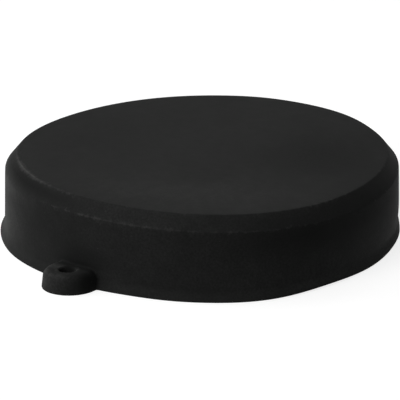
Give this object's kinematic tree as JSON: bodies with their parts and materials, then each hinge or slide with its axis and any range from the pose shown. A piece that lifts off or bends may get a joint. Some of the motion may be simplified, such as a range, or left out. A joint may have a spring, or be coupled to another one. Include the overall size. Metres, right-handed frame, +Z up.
{
  "type": "lens cap",
  "caption": "Round push-on lens cap in soft black rubber, with a bevelled shoulder, a short skirt with a flared rim and a small lug with a cord hole.",
  "frame": {"origin": "centre of the bore's mouth, in the plane of the rim that the cap stands on", "axes": "+Z up along the bore to the closed face, so -Z points out of the mouth; the cord lug points along -Y"},
  "size_m": [0.0784, 0.0845, 0.0155],
  "materials": {
    "rubber": "matte"
  },
  "bodies": {
    "root": {"cap": "rubber"}
  },
  "joints": []
}
